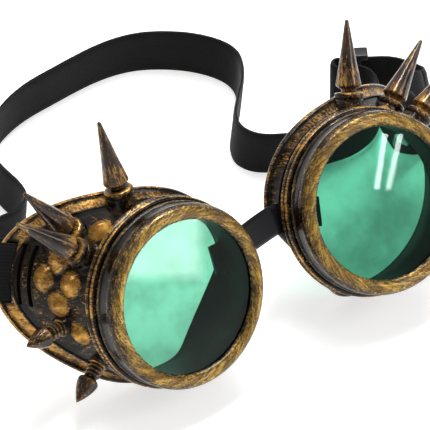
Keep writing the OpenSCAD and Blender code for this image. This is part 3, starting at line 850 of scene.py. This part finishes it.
def finishSpike(bm, side, label, kind):
    # the visible piece, on its cup, in place of the plain solid of the same name
    spike = finishMesh(bm, side + label.title() + kind.title(), spikeFinish, smoothAngle=35)
    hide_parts(side + "_" + label + "_" + kind)
    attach(spike, side + "_cup")


def spikeGrain(seat):
    # starts each spike's paint at another place
    return Matrix.Translation((seat[0], seat[1], 0))


def makeCone(side, seat, label):
    s = coneShape
    r, neck = s["d"] / 2, s["neckD"] / 2
    wide = s["neckLength"] + s["foot"]
    top = wide + s["length"] - s["tip"]
    slope = math.atan((r - s["tip"]) / (s["length"] - s["tip"]))
    profile = rounded([
        (0.0, 0.02, 0.1), (neck, 0.0, 0.5), (neck, s["neckLength"], 0.9), (r - 0.35, wide - 0.5, 0.55),
        (r, wide, 1.0), (r * 0.66, wide + (top - wide) * 0.37, 0.5), (s["tip"], top, 0.75)], 0.3)
    for k in range(1, s["tipSteps"] + 1):
        b = slope + (math.pi / 2 - slope) * k / s["tipSteps"]
        profile.append((s["tip"] * math.cos(b), top + s["tip"] * math.sin(b), 0.8))
    bm = newMesh()
    place = seatMatrix(seat) @ Matrix.Translation((0, 0, collarTop(seat)))
    addTurned(bm, profile, cupFrames[side] @ place, segments=72, grainPlace=spikeGrain(seat))
    finishSpike(bm, side, label, "spike")


bulletShape = {
    "length": 9.4, "d": 7.2, "neckLength": 5.0, "neckD": 4.4, "ribs": 3, "point": 1.55, "steps": 16,
    "rib": ((0.15, 0, 0), (0.3, 0.45, 0.9), (0.7, 0.45, 0.9), (0.85, 0, 0)),  # share of a rib, height, rub
    "headStart": 1.7, "headEnd": 1.75, "shoulder": 0.985, "blunt": 0.1, "names": ["side", "cheek"],
}


def makeBullet(side, seat, label):
    s = bulletShape
    r, neck, head = s["d"] / 2, s["neckD"] / 2, s["neckLength"]
    rib = head / (s["ribs"] + 0.5)
    profile = [(0.0, 0.0, 0.1), (neck, 0.0, 0.2)]
    for i in range(s["ribs"]):
        profile += [(neck + up, rib * (i + t), worn) for t, up, worn in s["rib"]]
    profile += [(neck, head, 0.0), (r - 0.5, head + 0.5, 0.6), (r, head + 1.2, 1.0)]
    start = head + s["headStart"]
    profile = rounded(profile + [(r * 0.99, start, 0.7)], 0.22)
    for i in range(1, s["steps"]):  # the pointed curve of the head
        t = i / s["steps"]
        out = r * (1 - t ** s["point"]) * s["shoulder"] + s["blunt"] * t
        profile.append((out, start + (s["length"] - s["headEnd"]) * t, 0.5 + 0.3 * t))
    profile.append((0.0, head + s["length"], 0.9))
    bm = newMesh()
    place = seatMatrix(seat) @ Matrix.Translation((0, 0, cupDetail["wallRoot"] + seat[3]))
    addTurned(bm, profile, cupFrames[side] @ place, segments=56, grainPlace=spikeGrain(seat))
    finishSpike(bm, side, label, "bullet")


for side in sides:
    for seat, label in zip(cupDetail["cones"][side], coneShape["names"]):
        makeCone(side, seat, label)
    for seat, label in zip(cupDetail["bullets"], bulletShape["names"]):
        makeBullet(side, seat, label)
print("spikes made")


# bands: the nose strip and the head strap
def smoothPath(points, ups, parts):
    # a rounded way through the points, with the width's direction at each
    out = []
    n = len(points)
    for i in range(n - 1):
        p0, p1, p2, p3 = (points[min(max(j, 0), n - 1)] for j in (i - 1, i, i + 1, i + 2))
        for k in range(parts):
            t = k / parts
            q = (p1 * 2 + (p2 - p0) * t + (p0 * 2 - p1 * 5 + p2 * 4 - p3) * t * t
                 + (p1 * 3 - p0 - p2 * 3 + p3) * t * t * t) / 2
            out.append((q, ups[i].lerp(ups[i + 1], t)))
    out.append((points[-1], ups[-1]))
    return out


def addBand(bm, way, width, thick, span=None, edge=0.45, across=14):
    # a flat band with rounded edges along a way of (point, width direction), or along one span of the way;
    # grain holds length, width and face, and the way's length is given back
    faceGrain, roundness = 4.0, 0.75
    outline = []
    for side in (1, -1):
        for k in range(across + 1):
            v = side * (1 - 2 * k / across)
            inset = max(0.0, (abs(v) * width / 2 - (width / 2 - edge)) / edge)
            tall = math.sqrt(max(0.0, 1 - inset ** 2 * roundness))
            outline.append((v * width / 2, side * thick / 2 * tall))
    rows, length = [], 0.0
    for i, (p, up) in enumerate(way):
        along = (way[min(i + 1, len(way) - 1)][0] - way[max(i - 1, 0)][0]).normalized()
        n = along.cross(up).normalized()
        v = n.cross(along).normalized()
        if i:
            length += (p - way[i - 1][0]).length
        rows.append((p, n, v, length))
    grain = bm.verts.layers.float_vector["grain"]
    grid = []
    first, last = span or (0, len(way) - 1)
    for p, n, v, length in rows[first:last + 1]:
        line = []
        for w, h in outline:
            vert = bm.verts.new((p + v * w + n * h) * mm)
            vert[grain] = (length, w, faceGrain if h > 0 else -faceGrain)
            line.append(vert)
        grid.append(line)
    joinRows(bm, grid)
    bm.faces.new(grid[0])
    bm.faces.new(grid[-1])
    return rows[-1][3]


def turnOf(side):
    # directions of a cup's frame, without place or scale
    return cupFrames[side].to_3x3() * (1 / mm)


def placed(side, p):
    # a point of a cup's frame in the scene, in millimetres
    return cupFrames[side] @ p * (1 / mm)


# the strip's slot in each cup, how far its tails reach in, and its free way between the two walls
stripShape = {
    "w": 10.0, "t": 1.0, "edge": 0.35, "angle": 5.5, "depth": 17.6, "shift": 0.8, "out": 31.2, "wallIn": 26.9,
    "in": {"left": 21.9, "right": 15.7}, "ease": 0.5, "steps": 10, "parts": 4,
}


def makeStrip():
    s = stripShape
    ups = {side: turnOf(side) @ polar(1, s["angle"] + 90, 0) for side in sides}

    def slotPoint(side, r):
        return placed(side, polar(r, s["angle"], s["depth"])) - ups[side] * sides[side] * s["shift"]

    a, b = slotPoint("left", s["out"]), slotPoint("right", s["out"])
    da = (a - slotPoint("left", 0)).normalized()
    db = (slotPoint("right", 0) - b).normalized()
    span = (b - a).length
    points = [slotPoint("left", s["in"]["left"]), slotPoint("left", s["wallIn"])]
    turns = [ups["left"], ups["left"]]
    for i in range(s["steps"] + 1):  # a curve that leaves each cup square to its wall
        t = i / s["steps"]
        k = t * t * (3 - 2 * t)
        bend = da * (t ** 3 - 2 * t * t + t) + db * (t ** 3 - t * t)
        points.append(a * (2 * t ** 3 - 3 * t * t + 1) + b * k + bend * span * s["ease"])
        turns.append(ups["left"].lerp(ups["right"], t))
    points += [slotPoint("right", s["wallIn"]), slotPoint("right", s["in"]["right"])]
    turns += [ups["right"], ups["right"]]
    bm = newMesh()
    addBand(bm, smoothPath(points, turns, s["parts"]), s["w"], s["t"], edge=s["edge"])
    strip = finishMesh(bm, "noseStrip", stripFinish)
    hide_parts("nose_bridge_strip")
    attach(strip, "bridge")


makeStrip()
print("nose strip made")

strapShape = {
    "w": 19.0, "t": 1.5, "slotAngle": 158.5, "slotDepth": 41.0, "tilt": 9.0, "uprightX": 70.0,
    "uprightOver": 10, "easeCount": 5, "parts": 6, "shift": (5.55, 70.5, 0.0),
    "table": [  # the middle of the band on the table, from the left cup to the right one
        (-91, 66, 31), (-96, 76, 23), (-94, 87, 16), (-85, 95, 11.5), (-71, 96, 9.6), (-57, 95, 9.6),
        (-47, 95, 9.6), (-41, 99, 9.6), (-39, 106, 9.6), (-39, 116, 9.6), (-38, 126, 9.6), (-32, 136.5, 9.6),
        (-22, 144.5, 9.6), (-9, 150, 9.6), (7, 152.5, 9.6), (23, 154, 9.6), (35, 153, 9.6), (45, 149, 9.6),
        (55.5, 140.5, 9.6), (62, 130, 9.6), (62.5, 120.5, 9.6), (57, 110.5, 9.6), (49, 101.5, 9.6),
        (42.8, 94, 9.6), (40.6, 87, 9.6), (43.2, 80.2, 9.6), (50.6, 75, 9.6), (61, 70.8, 9.6),
        (73, 68.5, 10.4), (82, 69.5, 11.3), (88.5, 72.7, 11.9), (92, 77, 12.2), (93.2, 82, 12.2),
        (92, 86, 12.2), (89.2, 88.5, 12.2), (86.2, 89.3, 12.2), (84.6, 91.2, 12.2), (84.9, 93.9, 12.2),
        (87, 94.7, 12.2), (89.6, 93.2, 12.2), (100, 86.9, 12.2), (104.2, 83.4, 12.2), (106.7, 79.3, 12.2),
        (108.2, 74.8, 12.5), (108.6, 70.3, 13.4), (106.9, 66.2, 15), (103, 63, 17.6), (97.5, 60.8, 20.5)],
    "leftBlend": ((-0.0950, -0.0100, 0.035), (-0.0880, 0.024, 0.012)),
    "rightBlend": ((0.1005, -0.002, 0.0145), (0.0850, -0.0240, 0.0275)),
    "splitLeft": 16, "splitRight": 54,
}


def fromNoneToAll(share):
    return min(1, max(0, share))


def sewnLoop(s):
    # radius and depth in a cup's frame: from the sewn end out through the rear slot and back past the rim
    wall, slot = wallRadius(s["slotAngle"], s["slotDepth"]), s["slotDepth"]
    top, far = rimRadius(s["slotAngle"]), rimDeep(s["slotAngle"])
    return [
        (wall - 4.6, far + 13), (wall - 5.4, far + 6), (wall - 5.7, far - 0.5), (wall - 5.2, slot + 1.2),
        (wall - 4.2, slot + 0.1), (wall + 1.6, slot), (top + 0.2, slot + 0.4), (top + 1.5, slot + 2.2),
        (top + 1.7, far + 0.6), (top + 0.4, far + 4), (wall - 1.4, far + 10), (wall - 2.4, far + 14)]


def strapPath(s):
    loop = sewnLoop(s)
    points = [placed("left", polar(r, s["slotAngle"], k)) for r, k in loop]
    points += [Vector(p) - Vector(s["shift"]) for p in s["table"]]
    points += [placed("right", polar(r, s["slotAngle"], k)) for r, k in reversed(loop)]
    ups = {side: turnOf(side) @ polar(1, s["slotAngle"] - 90, 0) for side in sides}
    count, n = len(points), len(loop)
    turns = []
    for i, p in enumerate(points):
        nearLeft = 1 - fromNoneToAll((i - n + 1) / s["easeCount"])
        nearRight = 1 - fromNoneToAll((count - n - i) / s["easeCount"])
        tilt = math.radians(s["tilt"] * fromNoneToAll((s["uprightX"] - p.x) / s["uprightOver"]))
        turns.append(ups["left"] * nearLeft + ups["right"] * nearRight
                     + Vector((0, -math.sin(tilt), math.cos(tilt))) * (1 - nearLeft - nearRight))
    return points, turns


def makeStrap():
    # three meshes of one band: the back lies on the table, and each end follows its cup
    s = strapShape
    points, turns = strapPath(s)
    way = smoothPath(points, turns, s["parts"])
    one, two = s["splitLeft"] * s["parts"], s["splitRight"] * s["parts"]
    spans = {"strapLeftEnd": (0, one), "strapBack": (one, two), "strapRightEnd": (two, len(way) - 1)}
    made = {}
    for name, span in spans.items():
        bm = newMesh()
        length = addBand(bm, way, s["w"], s["t"], span)
        made[name] = finishMesh(bm, name, strapFinish, smoothAngle=60)
        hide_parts("head_strap")
    print("strap length, mm:", round(length))
    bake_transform(made["strapLeftEnd"], "left_cup", "bridge", *s["leftBlend"])
    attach(made["strapBack"], "bridge")
    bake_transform(made["strapRightEnd"], "bridge", "right_cup", *s["rightBlend"])


strapFinish = wovenElastic("ribbedElastic", elasticLook)
makeStrap()
print("strap made")

# sewn seams that close the strap's end loops
seamShape = {"stitches": 7, "pitch": 2.4, "stitch": 0.4, "r": 0.24, "rows": (8.2, 11.2), "lift": 0.93}


def makeSeams(side):
    # two rows of stitches across the strap's outer face, on the straight stretch behind the rim
    s, angle = seamShape, strapShape["slotAngle"]
    (fromR, fromDepth), (toR, toDepth) = sewnLoop(strapShape)[-3:-1]
    bm = newMesh()
    up = polar(1, angle + 90, 0)
    half = s["pitch"] * s["stitch"]
    end = [(s["r"], half * 0.4, 0), (s["r"] * 0.7, half * 0.85, 0), (0.0, half, 0)]
    profile = [(r, -z, rub) for r, z, rub in reversed(end)] + end
    for row in s["rows"]:
        depth = rimDeep(angle) + row
        share = (depth - fromDepth) / (toDepth - fromDepth)
        r = fromR * (1 - share) + toR * share + s["lift"] + 0.1
        for k in range(s["stitches"]):
            off = (k - (s["stitches"] - 1) / 2) * s["pitch"]
            middle = polar(r, angle, depth) + up * off
            place = Matrix.Translation(middle) @ up.to_track_quat("Z", "X").to_matrix().to_4x4()
            addTurned(bm, profile, cupFrames[side] @ place, segments=10)
    seam = finishMesh(bm, side + "StrapSeam", threadFinish, smoothAngle=60)
    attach(seam, side + "_cup")


for side in sides:
    makeSeams(side)
print("seams made")

# slider
sliderShape = {
    "at": (87.65, 20.52, 12.2), "turn": -31.2, "length": 8.0, "bar": 1.4, "end": 2.2, "gap": 0.5,
    "barLength": 3.0, "bevel": 0.5, "bevelSteps": 4,
}


def makeSlider():
    s = sliderShape
    deep = strapShape["t"] + 2 * s["gap"] + 2 * s["bar"]
    inner = strapShape["w"] + 2 * s["gap"]
    place = Matrix.Translation(s["at"]) @ turn(s["turn"])
    bm = newMesh()
    grain = bm.verts.layers.float_vector["grain"]
    endBlock = (s["length"], deep, s["end"])
    barBlock = (s["barLength"], s["bar"], inner + s["end"])
    blocks = [((0, 0, k * (inner + s["end"]) / 2), endBlock) for k in (-1, 1)]
    blocks += [((0, k * (deep - s["bar"]) / 2, 0), barBlock) for k in (-1, 1)]
    for middle, size in blocks:
        block = Matrix.Translation(middle) @ Matrix.Diagonal((*size, 1))
        made = bmesh.ops.create_cube(bm, size=1, matrix=block)
        edges = list({e for v in made["verts"] for e in v.link_edges})
        bmesh.ops.bevel(
            bm, geom=edges, offset=s["bevel"], segments=s["bevelSteps"], profile=0.5, affect="EDGES")
    for v in bm.verts:
        v[grain] = v.co
        v.co = Matrix.Scale(mm, 4) @ place @ v.co
    slider = finishMesh(bm, "strapSlider", sliderFinish, smoothAngle=50)
    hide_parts("strap_slider")
    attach(slider, "slider")


makeSlider()
print("slider made")

# floor, world and lamps
studio = {
    "floor": 4.0, "floorColour": (0.8, 0.8, 0.79, 1), "floorRough": 0.7, "floorSpecular": 0.2,
    "lift": 0.62, "liftThrough": 0.02, "sides": 0.85, "dome": 0.27, "sky": (0.02, 0.45),
    "key": {"at": (0.35, 0.55, 1.15), "size": (1.1, 1.1), "power": 3.2},
    "fill": {"at": (0.65, -0.8, 0.8), "size": (0.45, 0.45), "power": 3.0},
    "tubes": {"at": (0.22, 0.1, 0.85), "size": (0.025, 0.7), "power": 3.4, "spread": 0.16},
}


def makeFloor(s):
    bm = bmesh.new()
    bmesh.ops.create_grid(bm, x_segments=8, y_segments=8, size=s["floor"])
    floor = inScene("studioFloor", meshOf("studioFloor", bm))
    mat, tree, shader = newMaterial("studioPaper")
    rays = tree.nodes.new("ShaderNodeLightPath")
    seen = maths(tree, "MAXIMUM", rays.outputs["Is Camera Ray"], rays.outputs["Is Glossy Ray"])
    through = maths(tree, "MULTIPLY", rays.outputs["Is Transmission Ray"], s["liftThrough"])
    lift = maths(tree, "ADD", maths(tree, "MULTIPLY", seen, s["lift"]), through)
    feed(tree, shader, {
        "Base Color": s["floorColour"], "Roughness": s["floorRough"], "Emission Color": (1, 1, 1, 1),
        "Specular IOR Level": s["floorSpecular"], "Emission Strength": lift,
    })
    floor.data.materials.append(mat)


def makeWorld(s):
    # light walls and a dimmer dome over them, from the horizon up
    world = bpy.data.worlds.new("studioWorld")
    bpy.context.scene.world = world
    world.use_nodes = True
    tree = world.node_tree
    tree.nodes.clear()
    out = tree.nodes.new("ShaderNodeOutputWorld")
    back = tree.nodes.new("ShaderNodeBackground")
    coord = tree.nodes.new("ShaderNodeTexCoord")
    height = split(tree, coord.outputs["Generated"])[2]
    strength = ranged(tree, height, *s["sky"], s["sides"], s["dome"])
    feed(tree, back, {"Color": (1, 1, 1, 1), "Strength": strength})
    feed(tree, out, {0: back.outputs[0]})


def makeLamp(name, at, size, power, target=(0, 0, 0.03), longAxis=None):
    light = bpy.data.lights.new(name, "AREA")
    light.shape, light.size, light.size_y, light.energy = "RECTANGLE", size[0], size[1], power
    lamp = inScene(name, light)
    lamp.location = at
    toward = Vector(target) - Vector(at)
    if longAxis is None:
        lamp.rotation_euler = toward.to_track_quat("-Z", "Y").to_euler()
    else:
        z = -toward.normalized()
        y = (longAxis - z * longAxis.dot(z)).normalized()
        lamp.rotation_euler = Matrix((y.cross(z), y, z)).transposed().to_euler()


makeFloor(studio)
makeWorld(studio)
makeLamp("keyLamp", **studio["key"])
makeLamp("fillLamp", **studio["fill"])
tubes = studio["tubes"]
for k in (-1, 1):
    spot = Vector(tubes["at"]) + Vector((k * tubes["spread"] / 2, 0, 0))
    makeLamp("ceilingTube" + ("A" if k < 0 else "B"), spot, tubes["size"], tubes["power"])

lensFront = 2.3  # how deep a lens's face lies in its cup


def mirrorOf(side):
    # the middle of a lens's face and the direction it looks in
    return cupFrames[side] @ Vector((0, 0, -lensFront)), (turnOf(side) @ Vector((0, 0, 1))).normalized()


def mirroredSpot(mirror, px, py, away):
    # where a lamp stands that shows in the lens at a pixel of the photograph
    face, out = mirror
    ray = pixelRay(px, py)
    hit = camera.location + ray * ((face - camera.location).dot(out) / ray.dot(out))
    return hit + (ray - out * 2 * ray.dot(out)) * away


# the pair of lamp tubes mirrored in the right lens, from where they show in the photograph
lensGlints = {
    "lines": [((385, 134), (377, 189)), ((400.5, 134), (388.5, 189))], "away": 0.7, "wide": 0.0026,
    "power": 0.01,
}


def makeGlints(s):
    mirror = mirrorOf("right")
    for letter, line in zip("AB", s["lines"]):
        a, b = (mirroredSpot(mirror, px, py, s["away"]) for px, py in line)
        size = (s["wide"], (b - a).length)
        makeLamp("glintTube" + letter, (a + b) / 2, size, s["power"], target=mirror[0], longAxis=b - a)


makeGlints(lensGlints)

# a pale card mirrored in the upper half of the left lens
lensCard = {
    "corners": ((118, 204), (201, 204), (201, 282), (118, 282)), "soft": 3.0, "layers": 4,
    "inward": ((1, 1), (-1, 1), (-1, -1), (1, -1)), "layerGap": 0.002, "away": 0.5, "power": 0.06,
}


def makeCard(s):
    mirror = mirrorOf("left")
    for k in range(s["layers"]):  # one over the other, each a little smaller, for a soft edge
        inset, away = k * s["soft"], s["away"] + s["layerGap"] * k
        a, b, c, d = (mirroredSpot(mirror, px + sx * inset, py + sy * inset, away)
                      for (px, py), (sx, sy) in zip(s["corners"], s["inward"]))
        middle, size = (a + b + c + d) / 4, ((b - a).length, (d - a).length)
        power = s["power"] / s["layers"]
        makeLamp("paleCard" + "ABCD"[k], middle, size, power, target=mirror[0], longAxis=d - a)


makeCard(lensCard)
bpy.context.scene.view_settings.view_transform = "Standard"
print("studio made")


def plain(corners):
    return [[round(v, 5) for v in corner] for corner in corners]
